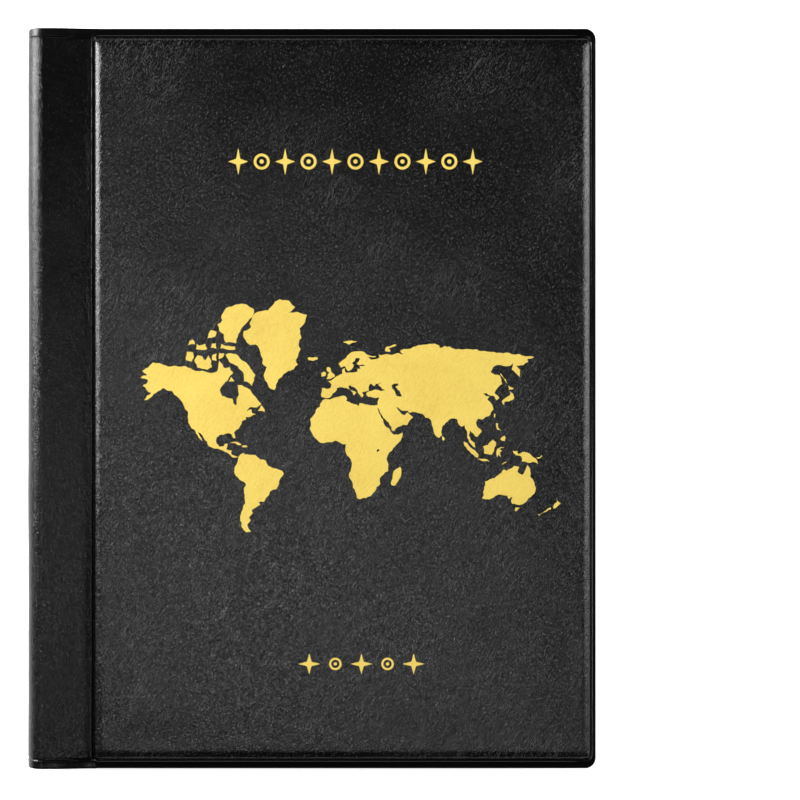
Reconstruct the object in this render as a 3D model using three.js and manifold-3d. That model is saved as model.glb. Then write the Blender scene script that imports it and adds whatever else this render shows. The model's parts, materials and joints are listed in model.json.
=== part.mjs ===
// A soft-cover coin album, closed and lying on its back cover.
// Units are millimetres. +X runs from the spine to the open edge, +Y from the tail to the head of the
// album, +Z from the back cover to the front cover. The origin is under the middle of the back cover.

import * as THREE from 'three';
import { mergeVertices } from 'three/addons/utils/BufferGeometryUtils.js';
import Module from 'manifold-3d';

const wasm = await Module();
wasm.setup();

// ---------------------------------------------------------------- driving dimensions
const WIDTH = 192;
const HEIGHT = 250;
const THICKNESS = 28;
const LAYER_GAP = 0.05; // air left between layers that lie on each other

// Padded cover panel
const PANEL_LEFT = -73;
const PANEL_RIGHT = WIDTH / 2;
const PANEL_THICKNESS = 3.8;
const PANEL_CORNER = 3.7;
const PANEL_INNER_CORNER = 1;
const RIM_WIDTH = 3.4;
const RIM_THICKNESS = 1.8;
const SKIN = 0.8;
const LINING = 0.35;
const BOARD = 1.2;
const FOAM_EDGE_CLEARANCE = 0.3;
const SHOULDER = 0.9; // rounding of the padded edge

// Spine and hinge strips
const SPINE_LEFT = -WIDTH / 2;
const FOLD_RADIUS = 5;
const STRIP_LEFT = -90.7;
const STRIP_RIGHT = -74.6;
const STRIP_LINING = 0.7;
const SPINE_LINING = 0.4;

// Leaves
const LEAF_COUNT = 14;
const LARGE_POCKET_LEAVES = 4;
const LEAF_HINGE_X = -89;
const LEAF_RIGHT = 86.4;
const LEAF_HEIGHT = 239;
const LEAF_CORNER = 3;
const LEAF_STACK_LOW = 4.4;
const LEAF_STACK_HIGH = 23.6;
const LEAF_PITCH = (LEAF_STACK_HIGH - LEAF_STACK_LOW) / LEAF_COUNT;
const LEAF_LENGTH = LEAF_RIGHT - LEAF_HINGE_X;
const LEAF_START = 0.3; // distance from the hinge line to the first film
const ROOT_LENGTH = 5;
const ROOT_FILM = 0.12;
const MARGIN_FILM = 0.25;
const POCKET_ZONE_START = 29;
const FILM_OUTER = 0.35; // from the middle of the leaf to either face
const FILM_INNER = 0.03; // half the slit that the coins slide into
const MOUTH_HEIGHT = 1.6;
const LARGE_GRID = { columns: 3, rows: 5 };
const SMALL_GRID = { columns: 4, rows: 6 };
const MOUTH_SIDE_SHARE = 0.12; // film left at each side of a pocket mouth
const MOUTH_TOP = 2.2; // film above a pocket mouth
const POCKET_EDGE = 1.2; // film outside the outermost pockets

// Binding block
const BINDING_LEFT = SPINE_LEFT + 2.6;
const BINDING_RIGHT = LEAF_HINGE_X - 0.3;
const BINDING_LOW = 4.6;
const BINDING_HIGH = THICKNESS - BINDING_LOW;

const CORNER_STEPS = 5;
const FOLD_STEPS = 8;

// ---------------------------------------------------------------- materials
const finish = (color, roughness, metalness = 0) =>
  new THREE.MeshStandardMaterial({ color, roughness, metalness });

const materials = {
  leather: () => finish(0x1b1b1d, 0.5),
  lining: () => finish(0x141415, 0.42),
  foam: () => finish(0x8d8d88, 0.95),
  board: () => finish(0x8a7a64, 0.9),
  film: () => finish(0x5d5e62, 0.3),
  binding: () => finish(0x2a2a2c, 0.4),
};

// ---------------------------------------------------------------- solid helpers
function toSolid(geometry) {
  const bare = geometry.clone();
  bare.deleteAttribute('normal');
  bare.deleteAttribute('uv');
  const merged = mergeVertices(bare, 1e-4);
  return new wasm.Manifold(
    new wasm.Mesh({
      numProp: 3,
      vertProperties: new Float32Array(merged.attributes.position.array),
      triVerts: new Uint32Array(merged.index.array),
    }),
  );
}

function toGeometry(solid) {
  const mesh = solid.getMesh();
  const geometry = new THREE.BufferGeometry();
  geometry.setAttribute('position', new THREE.BufferAttribute(mesh.vertProperties, 3));
  geometry.setIndex(new THREE.BufferAttribute(mesh.triVerts, 1));
  geometry.computeVertexNormals();
  return geometry;
}

// A rectangle between two x values, centred on y = 0, with its own corner radius at either end.
// Each arc is joined to the one before it by a straight edge.
function roundedRectangle(left, right, height, leftRadius, rightRadius) {
  const top = height / 2;
  const quarter = Math.PI / 2;
  const shape = new THREE.Shape();
  shape.absarc(right - rightRadius, -top + rightRadius, rightRadius, -quarter, 0, false);
  shape.absarc(right - rightRadius, top - rightRadius, rightRadius, 0, quarter, false);
  shape.absarc(left + leftRadius, top - leftRadius, leftRadius, quarter, 2 * quarter, false);
  shape.absarc(left + leftRadius, -top + leftRadius, leftRadius, 2 * quarter, 3 * quarter, false);
  return shape;
}

// A flat plate of a shape between two z values
function plate(shape, low, high) {
  const geometry = new THREE.ExtrudeGeometry(shape, {
    depth: high - low,
    bevelEnabled: false,
    curveSegments: CORNER_STEPS,
  });
  return geometry.translate(0, 0, low);
}

// A section drawn in x and z, run along Y and centred on y = 0
function runAlongY(section, length, curveSegments = FOLD_STEPS) {
  const geometry = new THREE.ExtrudeGeometry(section, {
    depth: length,
    bevelEnabled: false,
    curveSegments,
  });
  return geometry.rotateX(Math.PI / 2).translate(0, length / 2, 0);
}

function sectionOf(points) {
  return new THREE.Shape(points.map(([x, z]) => new THREE.Vector2(x, z)));
}

function bar(left, right, low, high, length) {
  return runAlongY(sectionOf([[left, low], [right, low], [right, high], [left, high]]), length);
}

function part(name, geometry, material) {
  const mesh = new THREE.Mesh(geometry, material);
  mesh.name = name;
  return mesh;
}

// ---------------------------------------------------------------- cover panels
// A panel is made with its outer face up, at z = 0, and its layers below.
const panelOutline = (inset, cornerLoss = inset) =>
  roundedRectangle(
    PANEL_LEFT + inset,
    PANEL_RIGHT - inset,
    HEIGHT - 2 * inset,
    PANEL_INNER_CORNER,
    Math.max(PANEL_CORNER - cornerLoss, 1),
  );

// The skin is a shallow tray: a thin welded rim around a raised, round-shouldered pad cover
function panelSkin() {
  const underside = -PANEL_THICKNESS + LINING + LAYER_GAP;
  const rim = plate(panelOutline(0), underside, -PANEL_THICKNESS + RIM_THICKNESS);
  const pad = new THREE.ExtrudeGeometry(panelOutline(RIM_WIDTH + SHOULDER, 0), {
    depth: -SHOULDER - underside - LAYER_GAP,
    bevelEnabled: true,
    bevelThickness: SHOULDER,
    bevelSize: SHOULDER,
    bevelSegments: 3,
    curveSegments: CORNER_STEPS,
  });
  pad.translate(0, 0, underside + LAYER_GAP);
  const below = plate(panelOutline(-1), underside - 2, underside);
  const cavity = plate(panelOutline(RIM_WIDTH + SKIN), underside - 1, -SKIN);
  return toGeometry(toSolid(rim).add(toSolid(pad)).subtract(toSolid(below)).subtract(toSolid(cavity)));
}

function panelLayer(low, high) {
  return plate(panelOutline(RIM_WIDTH + SKIN + FOAM_EDGE_CLEARANCE), low, high);
}

function coverPanel(side) {
  const panel = new THREE.Group();
  const liningTop = -PANEL_THICKNESS + LINING;
  const boardLow = liningTop + LAYER_GAP;
  const boardHigh = boardLow + BOARD;
  panel.add(part(`${side}_cover_skin`, panelSkin(), materials.leather()));
  panel.add(
    part(`${side}_cover_foam`, panelLayer(boardHigh + LAYER_GAP, -SKIN - LAYER_GAP), materials.foam()),
  );
  panel.add(part(`${side}_cover_board`, panelLayer(boardLow, boardHigh), materials.board()));
  panel.add(
    part(
      `${side}_cover_lining`,
      plate(panelOutline(0), -PANEL_THICKNESS, liningTop),
      materials.lining(),
    ),
  );
  return panel;
}

// ---------------------------------------------------------------- hinge strips and spine
// A strip is made with its outer face up, at z = 0
function hingeStrip(side) {
  const strip = new THREE.Group();
  const liningTop = -SKIN - LAYER_GAP;
  strip.add(
    part(`${side}_strip_skin`, bar(STRIP_LEFT, STRIP_RIGHT, -SKIN, 0, HEIGHT), materials.leather()),
  );
  strip.add(
    part(
      `${side}_strip_lining`,
      bar(STRIP_LEFT, STRIP_RIGHT, liningTop - STRIP_LINING, liningTop, HEIGHT),
      materials.lining(),
    ),
  );
  return strip;
}

// A channel: a flat back with a quarter-round corner along each long side
function spineSkin() {
  const centreX = SPINE_LEFT + FOLD_RADIUS;
  const highZ = THICKNESS - FOLD_RADIUS;
  const innerRadius = FOLD_RADIUS - SKIN;
  const quarter = Math.PI / 2;
  const section = new THREE.Shape();
  section.absarc(centreX, FOLD_RADIUS, innerRadius, 3 * quarter, 2 * quarter, true);
  section.absarc(centreX, highZ, innerRadius, 2 * quarter, quarter, true);
  section.absarc(centreX, highZ, FOLD_RADIUS, quarter, 2 * quarter, false);
  section.absarc(centreX, FOLD_RADIUS, FOLD_RADIUS, 2 * quarter, 3 * quarter, false);
  return runAlongY(section, HEIGHT);
}

function spine() {
  const group = new THREE.Group();
  const boardLeft = SPINE_LEFT + SKIN + LAYER_GAP;
  const liningLeft = boardLeft + BOARD + LAYER_GAP;
  const low = FOLD_RADIUS;
  const high = THICKNESS - FOLD_RADIUS;
  group.add(part('spine_skin', spineSkin(), materials.leather()));
  group.add(
    part('spine_board', bar(boardLeft, boardLeft + BOARD, low, high, HEIGHT - 4), materials.board()),
  );
  group.add(
    part('spine_lining', bar(liningLeft, liningLeft + SPINE_LINING, low, high, HEIGHT), materials.lining()),
  );
  group.add(
    part(
      'page_binding',
      bar(BINDING_LEFT, BINDING_RIGHT, BINDING_LOW, BINDING_HIGH, LEAF_HEIGHT),
      materials.binding(),
    ),
  );
  return group;
}

// ---------------------------------------------------------------- leaves
// A leaf is made with its hinge line on x = 0, z = 0 and its front towards +Z
function leafTrim() {
  return plate(roundedRectangle(LEAF_START, LEAF_LENGTH, LEAF_HEIGHT, 1, LEAF_CORNER), -1, 1);
}

// The film thickens in steps from the bendable root, over the plain margin, to the pocket zone
function backingFilm() {
  const root = ROOT_FILM / 2;
  const margin = MARGIN_FILM / 2;
  const profile = sectionOf([
    [LEAF_START - 1, -root],
    [ROOT_LENGTH, -root],
    [ROOT_LENGTH, -margin],
    [POCKET_ZONE_START, -margin],
    [POCKET_ZONE_START, -FILM_OUTER],
    [LEAF_LENGTH + 1, -FILM_OUTER],
    [LEAF_LENGTH + 1, -FILM_INNER],
    [POCKET_ZONE_START, -FILM_INNER],
    [POCKET_ZONE_START, margin],
    [ROOT_LENGTH, margin],
    [ROOT_LENGTH, root],
    [LEAF_START - 1, root],
  ]);
  const film = toSolid(runAlongY(profile, LEAF_HEIGHT + 2));
  return toGeometry(film.intersect(toSolid(leafTrim())));
}

// The pocket film has one slot, the mouth, near the top of each pocket
function pocketFilm(grid) {
  const left = POCKET_ZONE_START + LAYER_GAP;
  const cellWidth = (LEAF_LENGTH - left - 2 * POCKET_EDGE) / grid.columns;
  const cellHeight = (LEAF_HEIGHT - 2 * POCKET_EDGE) / grid.rows;
  const mouthWidth = cellWidth * (1 - 2 * MOUTH_SIDE_SHARE);
  const outline = roundedRectangle(left, LEAF_LENGTH, LEAF_HEIGHT, 1, LEAF_CORNER);
  let film = toSolid(plate(outline, FILM_INNER, FILM_OUTER));
  for (let column = 0; column < grid.columns; column += 1) {
    for (let row = 0; row < grid.rows; row += 1) {
      const middleX = left + POCKET_EDGE + (column + 0.5) * cellWidth;
      const cellTop = -LEAF_HEIGHT / 2 + POCKET_EDGE + (row + 1) * cellHeight;
      const mouth = new THREE.BoxGeometry(mouthWidth, MOUTH_HEIGHT, 2);
      mouth.translate(middleX, cellTop - MOUTH_TOP - MOUTH_HEIGHT / 2, 0);
      film = film.subtract(toSolid(mouth));
    }
  }
  return toGeometry(film);
}

function leaf(number) {
  const grid = number <= LARGE_POCKET_LEAVES ? LARGE_GRID : SMALL_GRID;
  const label = `leaf_${String(number).padStart(2, '0')}`;
  const group = new THREE.Group();
  group.add(part(`${label}_backing`, backingFilm(), materials.film()));
  group.add(part(`${label}_pockets`, pocketFilm(grid), materials.film()));
  group.position.set(LEAF_HINGE_X, 0, LEAF_STACK_HIGH - (number - 0.5) * LEAF_PITCH);
  return group;
}

// ---------------------------------------------------------------- assembly
const album = new THREE.Group();
album.name = 'coin_album';

const frontSide = new THREE.Group();
frontSide.position.z = THICKNESS;
frontSide.add(coverPanel('front'), hingeStrip('front'));

const backSide = new THREE.Group();
backSide.rotation.x = Math.PI;
backSide.add(coverPanel('back'), hingeStrip('back'));

album.add(frontSide, backSide, spine());
for (let number = 1; number <= LEAF_COUNT; number += 1) {
  album.add(leaf(number));
}

export default album;
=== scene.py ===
"""Coin album: the detailed visual model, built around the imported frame."""
import json
import math
import random

import bmesh
import bpy
import numpy as np
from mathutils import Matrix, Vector
from mathutils.geometry import delaunay_2d_cdt


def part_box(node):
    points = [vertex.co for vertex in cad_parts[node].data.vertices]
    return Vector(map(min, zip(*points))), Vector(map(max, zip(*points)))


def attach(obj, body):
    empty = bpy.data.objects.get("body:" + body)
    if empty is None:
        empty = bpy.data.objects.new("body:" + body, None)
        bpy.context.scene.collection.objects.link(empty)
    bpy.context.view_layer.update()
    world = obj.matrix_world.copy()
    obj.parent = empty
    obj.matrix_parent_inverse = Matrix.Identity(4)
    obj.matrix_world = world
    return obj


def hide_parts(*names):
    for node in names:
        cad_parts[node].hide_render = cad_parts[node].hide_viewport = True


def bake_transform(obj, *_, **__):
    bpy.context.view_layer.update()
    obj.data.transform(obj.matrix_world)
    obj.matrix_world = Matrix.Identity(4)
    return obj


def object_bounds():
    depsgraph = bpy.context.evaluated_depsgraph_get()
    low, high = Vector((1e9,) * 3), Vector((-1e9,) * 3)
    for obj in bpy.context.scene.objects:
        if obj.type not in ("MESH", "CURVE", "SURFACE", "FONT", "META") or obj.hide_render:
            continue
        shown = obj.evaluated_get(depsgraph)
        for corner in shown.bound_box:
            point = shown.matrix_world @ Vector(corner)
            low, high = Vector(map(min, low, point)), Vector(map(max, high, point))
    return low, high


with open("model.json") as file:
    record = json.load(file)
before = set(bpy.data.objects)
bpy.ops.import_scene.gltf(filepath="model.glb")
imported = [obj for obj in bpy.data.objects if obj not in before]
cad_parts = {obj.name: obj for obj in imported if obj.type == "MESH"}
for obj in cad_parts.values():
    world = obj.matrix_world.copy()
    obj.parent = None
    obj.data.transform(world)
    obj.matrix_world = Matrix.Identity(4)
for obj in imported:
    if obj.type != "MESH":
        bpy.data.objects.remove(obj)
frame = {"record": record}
cad_low, cad_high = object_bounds()

MM = 0.001
TINY = 1e-9
LATTICE = 64  # cells in the repeat of the random lattice

# ---------------------------------------------------------------- sizes taken from the frame, in mm


def box_mm(node):
    low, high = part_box(node)
    return np.array(low) / MM, np.array(high) / MM


ALBUM_LOW, ALBUM_HIGH = np.array(cad_low) / MM, np.array(cad_high) / MM
THICKNESS = ALBUM_HIGH[2]
HALF_HEIGHT = ALBUM_HIGH[1]
PANEL_LOW, PANEL_HIGH = box_mm("front_cover_skin")
STRIP_LOW, STRIP_HIGH = box_mm("front_strip_skin")
BINDING_LOW, BINDING_HIGH = box_mm("page_binding")
SPINE_X = ALBUM_LOW[0]
LEAF_COUNT = 14
LARGE_POCKET_LEAVES = 4

FOLD_RADIUS = 5.0
SKIN = 0.75
PANEL_CORNERS = ((PANEL_LOW[0], -1, 1.0), (PANEL_HIGH[0], 1, 3.7))  # edge, outward side and radius
LEAF_CORNER = 3.0
PAD_CLEARANCE = 0.12
LINING_THICK = 0.45
LINING_CLEARANCE = 0.3

# Section through the padded cover, by distance in from its edge
RIM_DROP = 2.1  # how far the welded rim lies below the top of the pad
RIM_TILT = 0.16  # how steeply the rim falls away towards its edge
EDGE_ROUND = 0.25
RIDGE_AT = 2.5
RIDGE_HEIGHT = 0.26
GROOVE_AT = 3.1
GROOVE_DEPTH = 0.26
SHOULDER_START = 3.2
SHOULDER_END = 6.2
CROWN_DROP = 0.8
CROWN_LENGTH = 13.0
SHOULDER_FULLNESS = 0.85  # 0.5 for a quarter ellipse, 1 for a parabola
SPINE_SIDE_RIM = -0.6  # below nought, since the pad starts a little way up its shoulder beside the spine
FORE_EDGE_RIM = 1.8  # width of rim on the side away from the spine
RIM_END_DROP = 2.3  # how far the rim of the strip has fallen where it meets the rim of the cover
STRIP_FALL = 1.6  # how far the strip beside the spine falls on its way to the groove
STRIP_ROLL = 0.3  # how much further it falls as it rolls into the groove
HINGE_GROOVE_DEPTH = 0.7
SPINE_END_PULL = 0.8  # how far the spine's two ends are drawn in


# ---------------------------------------------------------------- noise and shaping
def smoothstep(low, high, value):
    t = np.clip((value - low) / (high - low), 0, 1)
    return t * t * (3 - 2 * t)


def bell(value, centre, width):
    return np.exp(-(((value - centre) / width) ** 2))


def value_noise(x, y, size, seed):
    """Smooth noise from -1 to 1 on a random lattice with cells of the given size."""
    lattice = np.random.default_rng(seed).uniform(-1, 1, (LATTICE, LATTICE))
    u = x / size + 17.3
    v = y / size + 29.1
    column = np.floor(u).astype(int)
    row = np.floor(v).astype(int)
    across = smoothstep(0, 1, u - column)
    up = smoothstep(0, 1, v - row)
    corners = [lattice[(column + i) % LATTICE, (row + j) % LATTICE] for j in (0, 1) for i in (0, 1)]
    lower = corners[0] * (1 - across) + corners[1] * across
    upper = corners[2] * (1 - across) + corners[3] * across
    return lower * (1 - up) + upper * up


def spaced(low, high, fine, coarse, border):
    """Positions from low to high, fine within the border at each end and coarse between."""
    edge = np.linspace(0, border, int(round(border / fine)) + 1)
    middle = np.linspace(low + border, high - border, int(round((high - low - 2 * border) / coarse)) + 1)
    return np.concatenate([low + edge[:-1], middle, high - edge[::-1][1:]])


def round_corners(x, y, half_height, corners):
    """Rounds a grid's square corners. A corner is its edge's x, which way is outward, and its radius."""
    x, y = x.copy(), y.copy()
    for edge_x, outward, radius in corners:
        for end in (-1, 1):
            centre_x = edge_x - outward * radius
            centre_y = end * (half_height - radius)
            u = (x - centre_x) * outward / radius
            v = (y - centre_y) * end / radius
            inside = (u > TINY) & (v > TINY)
            pull = np.where(inside, np.maximum(u, v) / np.maximum(np.hypot(u, v), TINY), 1)
            x = np.where(inside, centre_x + u * pull * outward * radius, x)
            y = np.where(inside, centre_y + v * pull * end * radius, y)
    return x, y


# ---------------------------------------------------------------- mesh building
def closed_sheet(outer, inner, uv, keep=None):
    """A closed skin between two point grids of one size, less the quads that keep leaves out."""
    rows, columns = outer.shape[:2]
    count = rows * columns
    index = np.arange(count).reshape(rows, columns)
    quads = np.stack([index[:-1, :-1], index[1:, :-1], index[1:, 1:], index[:-1, 1:]], -1)
    quads = quads[keep] if keep is not None else quads.reshape(-1, 4)
    start = quads.reshape(-1)
    end = np.roll(quads, -1, axis=1).reshape(-1)
    open_edge = ~np.isin(end * count + start, start * count + end)
    start, end = start[open_edge], end[open_edge]
    walls = np.stack([start, start + count, end + count, end], -1)
    faces = np.concatenate([quads, quads[:, ::-1] + count, walls])
    points = np.concatenate([outer.reshape(-1, 3), inner.reshape(-1, 3)])
    uvs = np.concatenate([uv.reshape(count, -1), uv.reshape(count, -1)])
    used, faces = np.unique(faces, return_inverse=True)
    return points[used], faces.reshape(-1, 4), uvs[used]


def joined(parts):
    """Several (points, faces, uvs) sets as one."""
    points, faces, uvs, offset = [], [], [], 0
    for part_points, part_faces, part_uvs in parts:
        points.append(part_points)
        faces.append(part_faces + offset)
        uvs.append(part_uvs)
        offset += len(part_points)
    return np.concatenate(points), np.concatenate(faces), np.concatenate(uvs)


def make_object(name, mesh_set, material, smooth_angle=40):
    """An object from points and UVs in mm. A third UV column marks welded leather, from 0 to 1."""
    points, faces, uvs = mesh_set
    mesh = bpy.data.meshes.new(name)
    mesh.from_pydata((points * MM).tolist(), [], faces.tolist())
    layer = mesh.uv_layers.new(name="UVMap")
    corners = np.empty(len(mesh.loops), np.int32)
    mesh.loops.foreach_get("vertex_index", corners)
    layer.data.foreach_set("uv", (uvs[corners, :2] * MM).astype(np.float32).ravel())
    if uvs.shape[1] > 2:
        weld = mesh.attributes.new("weld", "FLOAT", "POINT")
        weld.data.foreach_set("value", uvs[:, 2].astype(np.float32))
    tidy = bmesh.new()
    tidy.from_mesh(mesh)
    bmesh.ops.recalc_face_normals(tidy, faces=tidy.faces[:])
    tidy.to_mesh(mesh)
    tidy.free()
    mesh.shade_smooth()
    mesh.set_sharp_from_angle(angle=math.radians(smooth_angle))
    mesh.materials.append(material)
    piece = bpy.data.objects.new(name, mesh)
    bpy.context.scene.collection.objects.link(piece)
    return piece


# ---------------------------------------------------------------- materials
class Graph:
    """A material's node tree, with short calls to add and join its nodes."""

    def __init__(self, name, base, roughness, metallic=0.0, specular=0.5):
        self.material = bpy.data.materials.new(name)
        self.material.use_nodes = True
        self.nodes = self.material.node_tree.nodes
        self.shader = self.nodes["Principled BSDF"]
        self.shader.inputs["Base Color"].default_value = (*base, 1)
        self.shader.inputs["Roughness"].default_value = roughness
        self.shader.inputs["Metallic"].default_value = metallic
        self.shader.inputs["Specular IOR Level"].default_value = specular

    def node(self, kind, inputs=None, **settings):
        added = self.nodes.new(kind)
        for key, value in settings.items():
            setattr(added, key, value)
        for key, value in (inputs or {}).items():
            if isinstance(value, bpy.types.NodeSocket):
                self.join(value, added.inputs[key])
            else:
                added.inputs[key].default_value = value
        return added

    def join(self, source, target):
        self.material.node_tree.links.new(source, target)

    def place(self, scale=(1, 1, 1), turn=0.0):
        """Surface coordinates in metres, for a texture that is stretched and then turned."""
        uv = self.node("ShaderNodeUVMap", uv_map="UVMap")
        return self.mapped(uv.outputs["UV"], scale, turn)

    def mapped(self, source, scale, turn=0.0):
        inputs = {"Vector": source, "Scale": scale}
        mapping = self.node("ShaderNodeMapping", inputs, vector_type="TEXTURE")
        mapping.inputs["Rotation"].default_value = (0, 0, math.radians(turn))
        return mapping.outputs["Vector"]

    def noise(self, vector, scale, detail=3.0, roughness=0.5, distortion=0.0):
        values = {"Vector": vector, "Scale": scale, "Detail": detail}
        values.update({"Roughness": roughness, "Distortion": distortion})
        return self.node("ShaderNodeTexNoise", values).outputs["Fac"]

    def math(self, operation, a, b=0.5, clamp=False):
        return self.node("ShaderNodeMath", {0: a, 1: b}, operation=operation, use_clamp=clamp).outputs[0]

    def vector(self, operation, a, b):
        return self.node("ShaderNodeVectorMath", {0: a, 1: b}, operation=operation).outputs[0]

    def spread(self, value, low, high, to_low, to_high):
        """A value's range stretched to another range."""
        inputs = {"Value": value, "From Min": low, "From Max": high, "To Min": to_low, "To Max": to_high}
        return self.node("ShaderNodeMapRange", inputs).outputs["Result"]

    def colours(self, factor, stops):
        """A colour ramp, from a list of positions and colours."""
        ramp = self.node("ShaderNodeValToRGB", {"Fac": factor})
        elements = ramp.color_ramp.elements
        for element, (position, colour) in zip(elements, (stops[0], stops[-1])):
            element.position, element.color = position, (*colour, 1)
        for position, colour in stops[1:-1]:
            elements.new(position).color = (*colour, 1)
        return ramp.outputs["Color"]

    def bump(self, height, strength, distance):
        node = self.node("ShaderNodeBump", {"Strength": strength, "Distance": distance, "Height": height})
        self.join(node.outputs["Normal"], self.shader.inputs["Normal"])

    def drive(self, socket, source):
        self.join(source, self.shader.inputs[socket])


def leather_height(graph, turn):
    """Leather relief: pebbles split by fine creases, crossed by longer wrinkles that flow one way."""
    surface = graph.place()
    warp = graph.node("ShaderNodeTexNoise", {"Vector": surface, "Scale": 330.0, "Detail": 2.0})
    centred = graph.vector("SUBTRACT", warp.outputs["Color"], (0.5, 0.5, 0.5))
    warped = graph.vector("ADD", surface, graph.vector("MULTIPLY", centred, (WARP, WARP, WARP)))
    pebbles = {"Vector": graph.mapped(warped, (1, 1.5, 1), turn), "Scale": 1 / (GRAIN_CELL * MM)}
    cells = graph.node("ShaderNodeTexVoronoi", pebbles, feature="DISTANCE_TO_EDGE").outputs["Distance"]
    pebble = graph.spread(cells, 0.0, 0.3, 0.0, 0.5)
    flow = graph.noise(graph.mapped(warped, (1, 3.6, 1), turn), 900.0, 2.0, 0.55, 0.4)
    crease = graph.math("ABSOLUTE", graph.math("SUBTRACT", flow, 0.5))
    wrinkle = graph.spread(crease, 0.0, 0.07, 0.0, 0.5)
    fine = graph.noise(surface, 3000.0, 2.0)
    return graph.math("ADD", graph.math("ADD", pebble, wrinkle), graph.math("MULTIPLY", fine, 0.2))


def painted_glint_mask(graph, turn):
    """Where glints of light are painted into the colour, from 0 to 1: fine short strokes, and long creases
    in some areas.
    """
    surface = graph.place()
    strokes = graph.noise(graph.mapped(surface, (1, 2.5, 1), turn), 2500.0, 2.0, 0.6, 0.7)
    crossing = graph.noise(graph.mapped(surface, (1, 1.7, 1), turn + 70), 2700.0, 2.0, 0.6, 0.8)
    areas = graph.noise(surface, 30.0, 3.0, 0.6)
    bright = graph.math("ADD", strokes, graph.math("MULTIPLY", crossing, 0.6))
    lift = graph.spread(areas, 0.35, 0.65, -0.03, 0.03)
    fine = graph.spread(graph.math("ADD", bright, lift), 0.88, 1.12, 0.0, 1.0)
    flow = graph.noise(graph.mapped(surface, (1, 4.2, 1), turn), 620.0, 2.0, 0.6, 1.1)
    crease = graph.spread(graph.math("ABSOLUTE", graph.math("SUBTRACT", flow, 0.5)), 0.0, 0.022, 1.0, 0.0)
    creased = graph.spread(graph.noise(surface, 21.0, 2.0), 0.46, 0.62, 0.0, 0.8)
    return graph.math("MAXIMUM", fine, graph.math("MULTIPLY", crease, creased))


def leather_material(name, turn, relief, painted_glint_level, shine, weld_gloss=0.0):
    """Black leather-look sheet, smooth and shiny where the weld has pressed it flat, with painted
    highlights (glints mixed into its colour) everywhere else.
    """
    graph = Graph(name, (0.003, 0.003, 0.0032), 0.3, specular=shine)
    weld = graph.node("ShaderNodeAttribute", attribute_name="weld").outputs["Fac"]
    unpressed = graph.math("SUBTRACT", 1.0, graph.math("MULTIPLY", weld, 0.95))
    height = graph.math("MULTIPLY", leather_height(graph, turn), unpressed)
    graph.bump(height, relief, 0.0002)
    # Painted highlight: bright glints in the base colour stand in for light caught by the grain's creases,
    # none on the weld
    painted_glint_amount = graph.math("MULTIPLY", painted_glint_mask(graph, turn), graph.math("SUBTRACT", 1.0, weld))
    dark = (0.0016, 0.0016, 0.0017)
    painted_glint_colour = (painted_glint_level, painted_glint_level, painted_glint_level * 1.02)
    painted_half_glint_colour = [0.3 * channel for channel in painted_glint_colour]
    graph.drive("Base Color", graph.colours(painted_glint_amount, [(0.0, dark), (0.5, painted_half_glint_colour), (1.0, painted_glint_colour)]))
    cloud = graph.noise(graph.place(), 22.0, 3.0)
    uneven = graph.spread(cloud, 0.3, 0.7, 0.21, 0.28)
    graph.drive("Roughness", graph.math("SUBTRACT", uneven, graph.math("MULTIPLY", weld, weld_gloss)))
    return graph.material


def foil_material():
    """Hot-stamped gold, pressed into the leather so that its grain shows through."""
    graph = Graph("gold_foil", (0.9, 0.68, 0.2), 0.5, metallic=0.15)
    height = leather_height(graph, PANEL_GRAIN_TURN)
    graph.bump(height, 0.16, 0.0002)
    cloud = graph.noise(graph.place(), 60.0, 4.0)
    blend = graph.math("ADD", graph.math("MULTIPLY", height, 0.35), graph.math("MULTIPLY", cloud, 0.5))
    stops = [(0.15, (0.74, 0.50, 0.085)), (0.5, (0.86, 0.64, 0.12)), (0.85, (0.92, 0.72, 0.16))]
    graph.drive("Base Color", graph.colours(blend, stops))
    graph.drive("Roughness", graph.spread(cloud, 0.3, 0.7, 0.42, 0.6))
    return graph.material


def object_noise_material(name, dark, light, roughness, scale, bump_distance, stretch=(1, 1, 1)):
    """A plain material with cloudy colour, uneven gloss and fine relief, in object coordinates."""
    graph = Graph(name, light, roughness)
    coordinates = graph.node("ShaderNodeTexCoord").outputs["Object"]
    fine = graph.noise(graph.mapped(coordinates, stretch), scale, 5.0, 0.6)
    cloud = graph.noise(coordinates, 40.0, 2.0)
    both = graph.math("ADD", graph.math("MULTIPLY", fine, 0.6), graph.math("MULTIPLY", cloud, 0.4))
    graph.drive("Base Color", graph.colours(both, [(0.3, dark), (0.7, light)]))
    graph.drive("Roughness", graph.spread(both, 0.3, 0.7, roughness - 0.06, roughness + 0.08))
    graph.bump(fine, 0.3, bump_distance)
    return graph.material


def film_material(name, dark, light, alpha, roughness):
    """Smoky plastic film: slightly rippled, glossy, and part see-through."""
    graph = Graph(name, light, roughness)
    graph.shader.inputs["Alpha"].default_value = alpha
    graph.shader.inputs["IOR"].default_value = 1.53
    surface = graph.place()
    ripple = graph.noise(graph.mapped(surface, (1, 0.5, 1), 12), 55.0, 2.0, 0.5, 0.4)
    dust = graph.noise(surface, 900.0, 3.0)
    both = graph.math("ADD", graph.math("MULTIPLY", ripple, 0.7), graph.math("MULTIPLY", dust, 0.3))
    graph.drive("Base Color", graph.colours(both, [(0.3, dark), (0.7, light)]))
    graph.drive("Roughness", graph.spread(dust, 0.3, 0.7, roughness - 0.04, roughness + 0.06))
    graph.bump(ripple, 0.25, 0.0004)
    return graph.material


GRAIN_CELL = 0.58  # size of a pebble of the grain, in mm
WARP = 0.0013  # how far the grain wanders from a regular cell, in metres
PANEL_GRAIN_TURN = -30
SPINE_GRAIN_TURN = -8

# One leather in three copies with different amounts of painted glint: most on the panel, least on the hinge
# strips, which also reflect less, so the strips look darker
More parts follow.
